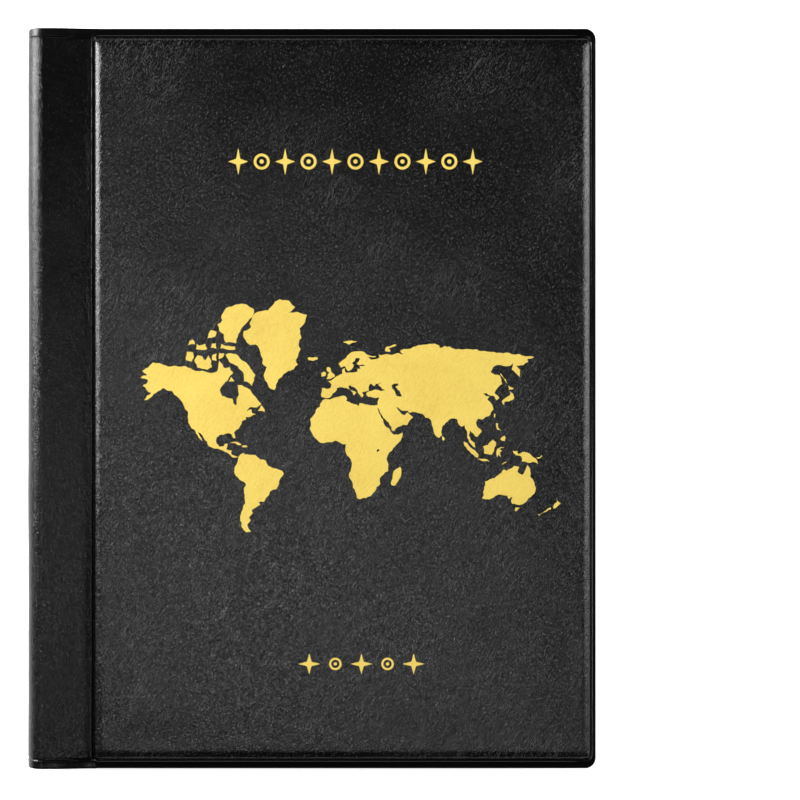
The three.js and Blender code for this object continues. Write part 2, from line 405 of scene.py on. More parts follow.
LEATHER = leather_material(
    "black_leather", PANEL_GRAIN_TURN, relief=0.28, painted_glint_level=0.11, shine=0.5, weld_gloss=0.08
)
STRIP_LEATHER = leather_material(
    "black_leather_strip", SPINE_GRAIN_TURN, relief=0.22, painted_glint_level=0.02, shine=0.2
)
SPINE_LEATHER = leather_material(
    "black_leather_spine", SPINE_GRAIN_TURN, relief=0.34, painted_glint_level=0.04, shine=0.4
)
FOIL = foil_material()
LINING = object_noise_material(
    "inner_lining", (0.007, 0.007, 0.008), (0.014, 0.014, 0.015), 0.36, 1500.0, 0.00008
)
FOAM = object_noise_material("pad_foam", (0.32, 0.32, 0.30), (0.5, 0.5, 0.47), 0.9, 1800.0, 0.0003)
BOARD = object_noise_material(
    "cover_board", (0.22, 0.17, 0.11), (0.36, 0.28, 0.19), 0.85, 900.0, 0.0001, stretch=(0.2, 1, 1)
)
BINDING = film_material("page_binding", (0.03, 0.03, 0.032), (0.06, 0.06, 0.063), 1.0, 0.32)
PAGE_FILM = film_material("page_film", (0.06, 0.06, 0.064), (0.085, 0.085, 0.09), 0.78, 0.24)
POCKET_FILM = film_material("pocket_film", (0.13, 0.13, 0.136), (0.18, 0.18, 0.186), 0.3, 0.14)
FLAP_FILM = film_material("flap_film", (0.20, 0.195, 0.205), (0.27, 0.26, 0.275), 0.62, 0.2)
WELD_FILM = film_material("weld_film", (0.28, 0.28, 0.29), (0.40, 0.40, 0.41), 0.95, 0.3)
NOTCH_FILM = film_material("notch_film", (0.008, 0.008, 0.009), (0.014, 0.014, 0.015), 1.0, 0.35)


# ---------------------------------------------------------------- padded covers
def panel_inset(x, y):
    """Distance in from the cover's edge, shifted so that the shoulder starts nearer the long edges."""
    softness = 0.8  # the larger this is, the rounder the pad's corners
    from_spine = x - PANEL_LOW[0] + SHOULDER_START - SPINE_SIDE_RIM
    from_fore_edge = PANEL_HIGH[0] - x + SHOULDER_START - FORE_EDGE_RIM
    from_end = HALF_HEIGHT - np.abs(y)
    total = sum(np.exp(-distance / softness) for distance in (from_spine, from_fore_edge, from_end))
    return -softness * np.log(total)


def panel_height(x, y, seed):
    """Height of the cover's outer face above its rest plane, which the crown of the pad just reaches."""
    inset = panel_inset(x, y)
    edge = np.clip(1 - inset / EDGE_ROUND, 0, 1)
    rounding = EDGE_ROUND * (1 - np.sqrt(1 - edge**2))
    height = -RIM_DROP - rounding - RIM_TILT * np.clip(RIDGE_AT - inset, 0, None)
    away_from_fore_edge = smoothstep(PANEL_HIGH[0] - 4, PANEL_HIGH[0] - 7, x)
    height += RIDGE_HEIGHT * bell(inset, RIDGE_AT, 0.18) * away_from_fore_edge
    height -= GROOVE_DEPTH * bell(inset, GROOVE_AT, 0.24)
    rise = np.clip((inset - SHOULDER_START) / (SHOULDER_END - SHOULDER_START), 0, 1)
    height += (RIM_DROP - CROWN_DROP) * (1 - (1 - rise) ** 2) ** SHOULDER_FULLNESS
    height += CROWN_DROP * (1 - np.exp(-np.clip(inset - SHOULDER_START, 0, None) / CROWN_LENGTH))
    return height + panel_wrinkles(x, y, inset, seed)


def panel_wrinkles(x, y, inset, seed):
    """Slow unevenness of the pad, puckers along its welded edge, and long creases across it."""
    pad = smoothstep(3.2, 12, inset)
    edge_pad = smoothstep(3.0, 4.6, inset) * (1 - smoothstep(7, 14, inset))
    slow = 0.09 * value_noise(x, y, 31, seed) + 0.05 * value_noise(x, y, 13, seed + 1)
    along = x * 0.5 + y * 0.87
    across = x * 0.87 - y * 0.5 + 3 * value_noise(x, y, 24, seed + 2)
    crease = np.abs(value_noise(across, along * 0.28, 3.4, seed + 3))
    crease_mask = smoothstep(0.0, 0.5, value_noise(x, y, 40, seed + 4))
    puckers = 0.05 * value_noise(x, y, 4.5, seed + 5) * edge_pad
    return pad * (slow - 0.15 + 0.05 * (crease - 0.5) * crease_mask) + puckers


def padded_cover(side, seed, coarse):
    """The leather skin of one cover: a welded rim around a round-shouldered pad, hollow inside."""
    border = 6
    xs = spaced(PANEL_LOW[0], PANEL_HIGH[0], 0.25, coarse, border)
    ys = spaced(-HALF_HEIGHT, HALF_HEIGHT, 0.25, coarse, border)
    x, y = np.meshgrid(xs, ys, indexing="ij")
    x, y = round_corners(x, y, HALF_HEIGHT, PANEL_CORNERS)
    inset = panel_inset(x, y)
    outer = panel_height(x, y, seed)
    underside = PANEL_LOW[2] - THICKNESS
    hollow = smoothstep(SHOULDER_START + 0.4, SHOULDER_START + 1.2, inset)
    inner = underside + (outer - SKIN - underside) * hollow
    facing = 1 if side == "front" else -1
    middle = THICKNESS / 2
    outer_points = np.stack([x, y, middle + facing * (middle + outer)], -1)
    inner_points = np.stack([x, y, middle + facing * (middle + inner)], -1)
    weld = 1 - smoothstep(GROOVE_AT - 0.2, SHOULDER_START + 0.5, inset)
    skin = closed_sheet(outer_points, inner_points, np.stack([x, y, weld], -1))
    piece = make_object(f"{side}_cover_leather", skin, LEATHER, smooth_angle=60)
    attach(piece, f"{side}_cover")
    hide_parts(f"{side}_cover_skin")
    return piece


def cover_pad(side, seed):
    """The foam under the skin, which fills the crown and stands on the board."""
    low, high = box_mm("front_cover_foam")
    step = 2.0
    slack = 0.01  # keeps the last point
    xs = np.arange(low[0], high[0] + slack, step)
    ys = np.linspace(low[1], high[1], 121)
    x, y = np.meshgrid(xs, ys, indexing="ij")
    top = THICKNESS + panel_height(x, y, seed) - SKIN - PAD_CLEARANCE
    flat = np.full_like(x, low[2])
    if side == "back":
        top, flat = THICKNESS - top, THICKNESS - flat
    uv = np.stack([x, y], -1)
    pad = closed_sheet(np.stack([x, y, top], -1), np.stack([x, y, flat], -1), uv)
    piece = make_object(f"{side}_cover_pad", pad, FOAM)
    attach(piece, f"{side}_cover")
    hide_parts(f"{side}_cover_foam")


# ---------------------------------------------------------------- hinge strips and spine
def strip_lining(side):
    """The lining under one hinge strip, following the leather's fall towards the groove."""
    end_inset = 4
    xs = np.linspace(STRIP_LOW[0] + 0.5, STRIP_HIGH[0] - 0.4, 16)
    ys = np.linspace(end_inset - HALF_HEIGHT, HALF_HEIGHT - end_inset, 60)
    x, y = np.meshgrid(xs, ys, indexing="ij")
    share = (x - STRIP_LOW[0]) / (STRIP_HIGH[0] - STRIP_LOW[0])
    fall = STRIP_FALL * share + STRIP_ROLL * smoothstep(0.8, 1.0, share)
    top = THICKNESS - SKIN - LINING_CLEARANCE - fall + 0.06 * value_noise(x, y, 7, 61)
    bottom = top - LINING_THICK
    if side == "back":
        top, bottom = THICKNESS - top, THICKNESS - bottom
    sheet = closed_sheet(np.stack([x, y, top], -1), np.stack([x, y, bottom], -1), np.stack([x, y], -1))
    piece = make_object(f"{side}_strip_liner", sheet, LINING)
    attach(piece, f"{side}_strip")
    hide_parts(f"{side}_strip_lining")


def wrap_profile():
    """The leather's outer line from the front groove round the spine to the back groove, as x and z."""
    strip_edge = STRIP_HIGH[0]
    groove_x = (PANEL_LOW[0] + strip_edge) / 2 + 0.25
    near_groove = np.arange(PANEL_LOW[0] + 0.25, strip_edge - 1.0, -0.16)
    across = np.concatenate([near_groove, np.linspace(strip_edge - 1.1, STRIP_LOW[0], 14)])
    fall = STRIP_FALL * np.clip((across - STRIP_LOW[0]) / (strip_edge - STRIP_LOW[0]), 0, 1)
    roll = STRIP_ROLL * smoothstep(strip_edge - 2.2, strip_edge + 0.3, across)
    groove = HINGE_GROOVE_DEPTH * bell(across, groove_x, 0.5)
    lip = 0.2 * bell(across, strip_edge + 0.45, 0.16)
    dip = lip - fall - roll - groove
    turn = np.linspace(math.pi / 2, math.pi, 13)
    corner_x = SPINE_X + FOLD_RADIUS + FOLD_RADIUS * np.cos(turn)
    corner_z = THICKNESS - FOLD_RADIUS + FOLD_RADIUS * np.sin(turn)
    flat_z = np.linspace(THICKNESS - FOLD_RADIUS, THICKNESS / 2, 8)[1:]
    x = np.concatenate([across, corner_x, np.full(len(flat_z), SPINE_X)])
    z = np.concatenate([THICKNESS + dip, corner_z, flat_z])
    return np.concatenate([x, x[-2::-1]]), np.concatenate([z, THICKNESS - z[-2::-1]])


def wrap_surface():
    """Outer and inner grids of the whole leather wrap, with its length round the section as u."""
    x, z = wrap_profile()
    step = np.hypot(np.diff(x), np.diff(z))
    along = np.concatenate([[0], np.cumsum(step)])
    tangent_x, tangent_z = np.gradient(x, along), np.gradient(z, along)
    length = np.hypot(tangent_x, tangent_z)
    normal_x, normal_z = tangent_z / length, -tangent_x / length
    ys = spaced(-HALF_HEIGHT, HALF_HEIGHT, 0.3, 1.6, 5)
    u, y = np.meshgrid(along, ys, indexing="ij")
    from_end = HALF_HEIGHT - np.abs(y)
    middle = along[-1] / 2
    on_strip = smoothstep(2.0, 5.0, u) * smoothstep(2.0, 5.0, along[-1] - u)
    relief = 0.10 * value_noise(u, y, 17, 51) + 0.04 * value_noise(u * 1.6, y * 0.7, 5, 52)
    near_groove = bell(np.abs(u - middle), middle - 5.5, 3.2)
    crumple = smoothstep(28, 4, from_end) * value_noise(u * 1.3 + y * 0.5, y * 0.8 - u * 0.5, 2.6, 53)
    relief += 0.16 * crumple * near_groove
    rim = 0.08 * bell(from_end, RIDGE_AT, 0.2) - 0.18 * bell(from_end, GROOVE_AT, 0.28)
    rim -= 0.1 * smoothstep(0.4, 0.0, from_end) + 0.05 * smoothstep(2.7, 2.2, from_end)
    lift = on_strip * (relief - 0.05) + rim
    on_spine = smoothstep(20, 30, u) * smoothstep(20, 30, along[-1] - u)
    near_end = smoothstep(HALF_HEIGHT - 20, HALF_HEIGHT, np.abs(y))
    y = y - np.sign(y) * SPINE_END_PULL * on_spine * near_end
    lifted_x = x[:, None] + normal_x[:, None] * lift
    lifted_z = z[:, None] + normal_z[:, None] * lift
    outer = np.stack([lifted_x, y, lifted_z], -1)
    facing = np.where(z > THICKNESS / 2, 1, -1)[:, None]
    pressed_depth = RIM_END_DROP * smoothstep(STRIP_LOW[0] + 3, PANEL_LOW[0] - 0.6, x)[:, None]
    pressed_z = THICKNESS / 2 + facing * (THICKNESS / 2 - pressed_depth)
    pressed = (1 - smoothstep(2.5, 3.5, from_end)) * (x > STRIP_LOW[0])[:, None]
    outer[..., 2] += (pressed_z + rim * facing - outer[..., 2]) * pressed
    normal = np.stack([normal_x, np.zeros(len(x)), normal_z], -1)[:, None]
    inner = outer - SKIN * normal
    weld = 0.5 - 0.5 * smoothstep(GROOVE_AT - 0.2, SHOULDER_START + 0.3, from_end)
    return outer, inner, np.stack([u, y, weld], -1)


def point(x, z):
    return (x * MM, 0, z * MM)


def leather_wrap():
    """The wrap, split where it folds: two grooves with their strips, two soft corners, and the spine."""
    outer, inner, uv = wrap_surface()
    rows = len(outer)
    middle = rows // 2
    strip_end = int(np.argmin(np.abs(outer[:middle, 0, 0] - STRIP_LOW[0])))
    spine_start = int(np.argmin(np.abs(outer[:middle, 0, 2] - (THICKNESS - FOLD_RADIUS - 0.5))))
    cuts = {
        "front_hinge_leather": (0, strip_end),
        "front_corner_leather": (strip_end, spine_start),
        "spine_leather": (spine_start, rows - 1 - spine_start),
        "back_corner_leather": (rows - 1 - spine_start, rows - 1 - strip_end),
        "back_hinge_leather": (rows - 1 - strip_end, rows - 1),
    }
    pieces = {}
    for name, (first, last) in cuts.items():
        span = slice(first, last + 1)
        skin = closed_sheet(outer[span], inner[span], uv[span])
        material = STRIP_LEATHER if "hinge" in name else SPINE_LEATHER
        pieces[name] = make_object(name, skin, material, smooth_angle=50)
    strip_x, groove_x = STRIP_HIGH[0] - 0.3, PANEL_LOW[0] + 0.1
    corner_x, corner_z = STRIP_LOW[0], FOLD_RADIUS + 0.5
    top = THICKNESS
    blends = (
        ("front_hinge", "front_strip", "front_cover", (strip_x, top), (groove_x, top)),
        ("front_corner", "spine", "front_strip", (SPINE_X, top - corner_z), (corner_x, top)),
        ("back_corner", "back_strip", "spine", (corner_x, 0), (SPINE_X, corner_z)),
        ("back_hinge", "back_cover", "back_strip", (groove_x, 0), (strip_x, 0)),
    )
    for place, first_body, second_body, start, end in blends:
        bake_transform(pieces[f"{place}_leather"], first_body, second_body, point(*start), point(*end))
    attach(pieces["spine_leather"], "spine")
    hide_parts("spine_skin")
    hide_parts("front_strip_skin")
    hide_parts("back_strip_skin")


# ---------------------------------------------------------------- binding and leaves
def page_block():
    """The welded block of page margins: one soft ridge for each leaf on the side that they leave it."""
    low, high = BINDING_LOW, BINDING_HIGH
    zs = np.linspace(low[2], high[2], LEAF_COUNT * 6 + 1)
    pitch = (high[2] - low[2]) / LEAF_COUNT
    ridge = 0.3 * np.abs(np.sin(math.pi * (zs - low[2]) / pitch))
    ys = spaced(low[1], high[1], 0.6, 2.4, 3)
    y, z = np.meshgrid(ys, zs, indexing="ij")
    tooth = 0.12 * (np.sin(2 * math.pi * y / 3.8) > 0)
    front = np.stack([high[0] - 0.35 + ridge[None, :] - tooth, y, z], -1)
    back = np.stack([np.full_like(y, low[0]), y, z], -1)
    piece = make_object("page_block", closed_sheet(front, back, np.stack([z * 4, y], -1)), BINDING, 30)
    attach(piece, "spine")
    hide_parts("page_binding")


def cell_lines(low, high, count, shares):
    """Grid lines for a row of pockets, closer together beside each weld."""
    size = (high - low) / count
    lines = [low + size * (number + share) for number in range(count) for share in shares]
    return np.array(lines + [high])


def pocket_shape(x, y, zone, columns, rows):
    """How much the film pillows at each point, from 0 at a weld to 1 in the middle of a pocket."""
    left, right, low, high = zone
    u = np.clip((x - left) / (right - left), 0, 1) * columns
    v = np.clip((y - low) / (high - low), 0, 1) * rows
    u, v = u - np.clip(np.floor(u), 0, columns - 1), v - np.clip(np.floor(v), 0, rows - 1)
    pillow = (1 - np.abs(2 * u - 1) ** 6) * (1 - np.abs(2 * v - 1) ** 6)
    inside = (x > left) & (x < right)
    return pillow * inside


# Where grid lines cross a pocket, as shares of its size: close together beside its welds
WELD_SHARES = (0, 0.012, 0.03, 0.07, 0.16, 0.32, 0.5, 0.68, 0.84, 0.93, 0.97, 0.988)
LEAF_EDGE = 0.6
FILM = 0.08
PILLOW = 0.2  # how far a pocket film stands up in the middle of a pocket
LEAF_SAG = 0.05
# Across a leaf, by x: its plain margin starts here
MARGIN_START = -82


def leaf_pieces(number, columns, rows):
    """One leaf: its backing and pocket films, and the flaps, welds and notches on both faces."""
    label = f"leaf_{number:02d}"
    backing_low, backing_high = box_mm(f"{label}_backing")
    pocket_low, pocket_high = box_mm(f"{label}_pockets")
    middle_z = (backing_low[2] + pocket_high[2]) / 2
    right, half = backing_high[0], backing_high[1]
    border = 1.2
    zone = (pocket_low[0] + 1.0, right - border, -half + border, half - border)
    fold = np.linspace(BINDING_HIGH[0] - 0.2, MARGIN_START - 2, 10)
    margin = np.linspace(MARGIN_START, pocket_low[0], 10)
    columns_x = cell_lines(zone[0], zone[1], columns, WELD_SHARES)
    rows_y = cell_lines(zone[2], zone[3], rows, WELD_SHARES)
    xs = np.concatenate([fold, margin, columns_x, [right - LEAF_EDGE, right]])
    ys = np.concatenate([[-half, LEAF_EDGE - half], rows_y, [half - LEAF_EDGE, half]])
    x, y = np.meshgrid(xs, ys, indexing="ij")
    x, y = round_corners(x, y, half, ((right, 1, LEAF_CORNER),))
    uv = np.stack([x, y], -1)
    pillow = pocket_shape(x, y, zone, columns, rows)
    sag = LEAF_SAG * value_noise(x, y + number * 50, 38, 70 + number)
    thick = 0.06 + 0.14 * smoothstep(-86, -60, x)
    top = middle_z + sag - 0.03
    bottom = top - thick - 0.1 * pillow
    backing = closed_sheet(np.stack([x, y, top], -1), np.stack([x, y, bottom], -1), uv)
    sheet_piece = make_object(f"{label}_backing_film", backing, PAGE_FILM, 30)
    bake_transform(sheet_piece)
    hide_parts(f"{label}_backing")

    slack = 1e-6  # keeps the line on the film's own edge
    in_zone = xs >= pocket_low[0] - slack
    xp, yp, pillow_p, sag_p = x[in_zone], y[in_zone], pillow[in_zone], sag[in_zone]
    film_top = middle_z + sag_p + FILM + PILLOW * pillow_p
    upper = np.stack([xp, yp, film_top], -1)
    lower = np.stack([xp, yp, film_top - FILM], -1)
    film = closed_sheet(upper, lower, np.stack([xp, yp], -1), ~mouth_quads(xp, yp, zone, columns, rows))
    film_piece = make_object(f"{label}_pocket_film", film, POCKET_FILM, 30)
    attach(film_piece, label)
    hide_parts(f"{label}_pockets")

    front_flaps = pocket_flaps(zone, columns, rows, middle_z + 0.3)
    flaps = joined([*front_flaps, *pocket_flaps(zone, columns, rows, middle_z - 0.44)])
    marks = {
        "flaps": (flaps, FLAP_FILM),
        "welds": (bars(weld_lines(zone, columns, rows), middle_z), WELD_FILM),
        "notches": (bars(weld_notches(zone, columns, rows), middle_z), NOTCH_FILM),
    }
    for name, (mesh_set, material) in marks.items():
        mark_piece = make_object(f"{label}_{name}", mesh_set, material, 30)
        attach(mark_piece, label)


def bars(rectangles, middle_z):
    """Thin closed bars on both faces of a leaf, from rows of x0, x1, y0, y1."""
    x0, x1, y0, y1 = np.array(rectangles).T
    corners = np.stack([np.stack([x0, x1, x1, x0], -1), np.stack([y0, y0, y1, y1], -1)], -1)
    sets = []
    for low, high in ((0.26, 0.40), (-0.46, -0.30)):
        heights = [np.full((*corners.shape[:2], 1), middle_z + z) for z in (low, high)]
        points = np.concatenate([np.concatenate([corners, height], -1) for height in heights], 1)
        box = np.array([[0, 3, 2, 1], [4, 5, 6, 7], [0, 1, 5, 4], [1, 2, 6, 5], [2, 3, 7, 6], [3, 0, 4, 7]])
        faces = (np.arange(len(points))[:, None, None] * 8 + box).reshape(-1, 4)
        flat = points.reshape(-1, 3)
        sets.append((flat, faces, flat[:, :2]))
    return joined(sets)


def weld_lines(zone, columns, rows):
    """Pale weld marks: twin and dotted lines between large pockets, or fine seams between small ones."""
    left, right, low, high = zone
    width, height = (right - left) / columns, (high - low) / rows
    lines = []
    if columns == 3:
        for column in range(columns + 1):
            x = left + column * width
            for offset in (-1.5, 1.2):
                line_x = min(max(x + offset, left), right - 0.5)
                for start in low + np.arange(rows) * height:
                    lines.append((line_x, line_x + 0.35, start + 1.6, start + height - 3))
        dots = np.arange(left + 1, right - 1, 2.3)
        lines += [(x, x + 1.3, y, y + 0.45) for y in low + np.arange(1, rows) * height for x in dots]
    else:
        lines += [(left, right, y - 0.1, y + 0.1) for y in low + np.arange(1, rows) * height]
    gutter = left - 4.0
    teeth = np.arange(low, high - 2, 3.8)
    return lines + [(gutter, gutter + 1.2, y, y + 1.9) for y in teeth]


def weld_notches(zone, columns, rows):
    """Dark marks: a notch where a column's weld meets a row's top, and seams between small pockets."""
    left, right, low, high = zone
    width, height = (right - left) / columns, (high - low) / rows
    marks = []
    for column in range(columns + 1):
        x = min(max(left + column * width, left + 1.4), right - 1.4)
        for row in range(rows):
            top = low + (row + 1) * height
            marks.append((x - 1.3, x + 1.3, top - 2.6, top - 1.0))
            if columns == 4:
                marks.append((x - 2.2, x - 1.3, top - 2.6, top - 1.9))
                marks.append((x + 1.3, x + 2.2, top - 2.6, top - 1.9))
                marks.append((x - 0.2, x + 0.2, top - height + 1, top - 2.7))
    return marks


def mouth_quads(x, y, zone, columns, rows):
    """Which quads of the film lie in a pocket's mouth, the slot that a coin goes in by."""
    left, right, low, high = zone
    middle_x = (x[:-1, :-1] + x[1:, 1:]) / 2
    middle_y = (y[:-1, :-1] + y[1:, 1:]) / 2
    u = ((middle_x - left) / (right - left) * columns) % 1
    v = ((middle_y - low) / (high - low) * rows) % 1
    inside = (middle_x > left) & (middle_x < right) & (middle_y > low) & (middle_y < high)
    return inside & (u > 0.07) & (u < 0.93) & (v > 0.93) & (v < 0.97)


def pocket_flaps(zone, columns, rows, base_z):
    """The tuck-in flap over each pocket's mouth: a trapezium, narrower at its free lower edge."""
    left, right, low, high = zone
    width, height = (right - left) / columns, (high - low) / rows
    drop = min(8.6, height * 0.2)
    for column in range(columns):
        for row in range(rows):
            centre = left + (column + 0.5) * width
            top = low + (row + 1) * height - 0.9
            share = np.linspace(0, 1, 7)
            across, down = np.meshgrid(np.linspace(-1, 1, 9), share, indexing="ij")
            half = width * (0.46 - 0.08 * np.clip(down * 2 - 0.9, 0, 1))
            x = centre + across * half
            y = top - down * drop
            z = base_z + 0.05 * np.sin(math.pi * down) + 0.02 * across**2
            upper = np.stack([x, y, z + 0.05], -1)
            lower = np.stack([x, y, z - 0.02], -1)
            yield closed_sheet(upper, lower, np.stack([x, y], -1))


def leaves():
    for number in range(1, LEAF_COUNT + 1):
        columns, rows = (3, 5) if number <= LARGE_POCKET_LEAVES else (4, 6)
        leaf_pieces(number, columns, rows)


# ---------------------------------------------------------------- gold foil
# Coastlines as longitude and latitude in degrees, simplified to the points their shapes need.
OLD_WORLD = {
    "mainland": [
        (-9, 37), (-9.4, 38.8), (-8.8, 43.2), (-2, 43.4), (-1.2, 45.8), (-4.6, 48.3), (-1.5, 48.7),
        (1.6, 50.8), (4.3, 52), (8, 53.7), (8.3, 57), (10.5, 57.7), (10.5, 55), (12, 54.2), (18.5, 54.7),
        (21, 55.2), (21.5, 57.3), (24, 57.2), (23.5, 59.2), (29.5, 59.9), (22.8, 60), (21.3, 61.5),
        (25.3, 65), (22, 65.7), (17.3, 61.5), (18.7, 60), (16.4, 57), (12.9, 55.6), (10.9, 59.2),
        (7, 58.1), (5, 61), (12, 65.5), (16, 69), (25.5, 71), (31, 70.2), (41, 67), (40, 66.3),
        (33, 66.7), (35, 64.3), (40, 64.6), (44, 66.2), (44, 68.3), (54, 68.4), (60, 68.8), (68, 68.6),
        (67, 71.5), (72, 73), (80, 73.5), (87, 75.2), (104, 77.6), (112, 76), (110, 73.9), (128, 73),
        (140, 72.7), (152, 70.9), (160, 69.6), (170, 70), (180, 68.9), (189.5, 66), (182, 65.2),
        (178, 62.4), (170, 60), (163.5, 59.8), (162.8, 56.5), (156.8, 51.2), (155.8, 56.8), (163, 61.6),
        (155, 59.3), (143, 59.2), (135.3, 54.7), (141, 52.3), (138, 46.3), (132, 43.2), (127.5, 39.7),
        (129.3, 36), (126.5, 34.5), (126, 37.5), (121.3, 39.5), (118, 39), (122.4, 37.2), (119.5, 34.8),
        (121.8, 31), (121.5, 28), (117, 23.6), (110.3, 21), (108, 21.6), (106, 19), (109.2, 13),
        (107, 10.5), (105, 8.8), (103, 11.2), (100.5, 13.4), (99.3, 10), (103.4, 4.5), (103.8, 1.4),
        (101.3, 3), (98.3, 8), (98.3, 13), (97.3, 17), (94.4, 16), (92, 21.5), (88, 21.7), (85, 19.5),
        (80.3, 15.5), (79.9, 10.3), (77.5, 8.1), (73.2, 16.5), (72.6, 21), (69, 22.3), (66.6, 25.2),
        (57.5, 25.6), (56.5, 27.1), (51, 28), (48.2, 30), (50.2, 26.5), (51.5, 25), (54, 24.1),
        (56.4, 26), (59.8, 22.5), (55, 17.3), (45, 12.8), (43, 13.5), (42.7, 16.5), (39, 21), (35, 28),
        (33.6, 29.6), (34.2, 27.5), (35.6, 24), (37.3, 21), (37.5, 18.6), (39.5, 15.5), (43, 11.8),
        (44.5, 10.4), (51.2, 11.9), (50.8, 9.5), (48, 5), (44, 1.2), (41, -2), (39.3, -5.5),
        (40.6, -10.5), (40.6, -15), (37, -17.8), (34.8, -20), (35.5, -24), (32.8, -26.2), (32, -29),
        (28.5, -32.8), (25.7, -34), (20, -34.8), (18.4, -33.8), (17.3, -30), (15, -26.5), (14.4, -22.5),
        (11.8, -17.5), (13.6, -12.5), (12.3, -6), (9.2, -1), (9.6, 3.8), (6, 4.3), (2, 6.3), (-4, 5.2),
        (-8, 4.5), (-12.5, 7.5), (-15, 10.8), (-17.2, 14.7), (-16.3, 19), (-17, 21.2), (-13, 27.7),
        (-9.8, 30), (-9.5, 32.5), (-6, 35.6), (-2, 35.1), (3, 36.8), (10, 37.3), (11, 35.5), (10.2, 34),
        (15, 32.3), (19.5, 30.3), (20.5, 32.7), (25, 31.6), (29, 30.9), (34.3, 31.2), (36, 36.5),
        (30.5, 36.6), (27.5, 37), (26.3, 39.5), (29.2, 41), (35, 42), (41.4, 41.5), (38, 44.4),
        (36.5, 45.4), (39, 47.2), (35, 46.2), (33.5, 44.5), (31, 46.5), (28.5, 43.5), (28.6, 41.3),
        (26, 40.8), (23, 40.4), (24, 38), (22.8, 36.5), (21, 38.3), (19.5, 41.5), (13.7, 45.4),
        (12.4, 44.2), (18.4, 40.2), (16, 38), (15.6, 40), (10.5, 43.3), (7.5, 43.8), (3.2, 43.1),
        (3, 41.8), (-0.3, 39.3), (-2, 36.8), (-5.5, 36.1),
    ],
    "britain": [
        (-5.5, 50), (1.3, 51.3), (1.7, 52.7), (-0.2, 54), (-1.8, 56), (-2, 57.6), (-3.5, 58.6),
        (-5.2, 58.4), (-5.6, 56.3), (-3, 54.5), (-4.6, 53), (-4.3, 51.6),
    ],
    "ireland": [(-6.2, 52.2), (-6, 54.5), (-8, 55.2), (-10, 54), (-9.8, 51.6)],
    "iceland": [(-22.5, 64), (-18.5, 63.4), (-14, 64.7), (-15, 66.3), (-22, 66.4), (-24, 65.5)],
    "madagascar": [(49.3, -12), (50.4, -15.7), (47, -25), (44, -25), (43.5, -22), (44.5, -16.3)],
    "sri_lanka": [(79.9, 9.6), (81.8, 7.5), (80.4, 6), (79.7, 7.5)],
    "honshu": [
        (130, 33.5), (130.8, 31.2), (132, 33.4), (135.5, 33.6), (139, 34.8), (141, 36), (141.8, 39.5),
        (140.3, 41), (139.7, 38.8), (136.8, 37.3), (133, 35.5), (131, 34.4),
    ],
    "hokkaido": [(140.2, 42), (143.3, 42.2), (145.3, 43.4), (142, 45.4), (141.3, 43.2)],
    "sakhalin": [(142, 46), (143.5, 49.5), (143.2, 54), (142.2, 53.3), (142, 49)],
    "taiwan": [(120.2, 23), (121, 22.2), (122, 25), (121, 25)],
    "luzon": [(120.3, 16), (120.7, 18.4), (122.2, 18.4), (121.6, 15.8), (124, 13), (120.7, 14)],
    "mindanao": [(122.1, 7.2), (125.5, 6), (126.4, 8.3), (125.4, 9.7), (123.4, 8.6)],
    "borneo": [
        (109.2, 1.8), (113, 3.2), (117, 7), (119, 5.2), (117.6, 1), (116, -3.6), (114, -3.4),
        (110.2, -2.8),
    ],
    "sumatra": [(95.4, 5.6), (98, 4.5), (103.5, -0.6), (106, -3.2), (105.6, -5.8), (101.5, -3.2)],
    "java": [(105.3, -6.7), (108.5, -6.6), (112.8, -6.9), (114.5, -8.6), (108.5, -7.8)],
    "sulawesi": [
        (119.7, 0.5), (125, 1.5), (121, 0.3), (123.2, -1), (121.5, -2), (122.6, -5.3), (120.5, -3.3),
        (119.6, -5.4), (119, -2.7),
    ],
    "new_guinea": [
        (131, -0.8), (134.3, -0.9), (135, -3.2), (138, -1.7), (144.5, -3.9), (147.7, -6), (150.5, -10.5),
        (146, -8.6), (142.5, -9.2), (138, -8.3), (137.5, -5), (133.5, -4),
    ],
    "australia": [
        (113.6, -22.5), (114, -26.5), (115.8, -32), (115.2, -34.3), (118, -35), (123.5, -33.9),
        (129, -31.7), (133.5, -32.2), (136, -34.8), (137.8, -33), (138.3, -35.6), (140.5, -38),
        (144, -38.6), (146.5, -39), (150, -37.4), (152.8, -32), (153.3, -27), (150.5, -23), (146.2, -19),
        (145.3, -15), (142.6, -10.9), (141.7, -14), (140.8, -17.5), (136, -15.5), (136.7, -12.2),
        (132.6, -11.5), (130, -13.5), (128, -15), (125.5, -14), (122.2, -18), (117, -20.7),
    ],
    "new_britain": [(148.4, -5.8), (151, -5.2), (152.2, -3.8), (152.4, -4.6), (151.2, -6.1), (149.6, -6.5)],
    "timor": [(123.6, -10.3), (125.2, -9), (127.3, -8.3), (126.4, -9.3), (124.2, -10.4)],
    "tasmania": [(144.7, -40.8), (148.2, -40.9), (147.2, -43.5), (145.6, -42.8)],
    "north_island": [
        (172.8, -34.5), (175.5, -36.5), (178.4, -37.8), (175.5, -41.5), (173.9, -39.4), (174.8, -37),
    ],
    "south_island": [
        (172.6, -40.6), (174, -41.8), (171, -44), (168.5, -46.6), (166.6, -45.8), (170.5, -43),
    ],
    "novaya_zemlya": [(52, 71), (57, 70.7), (57, 73.5), (68, 76.7), (56, 75), (52.5, 72.5)],
    "svalbard": [(11, 79), (17, 76.8), (21, 78.5), (27, 80), (15, 80)],
}
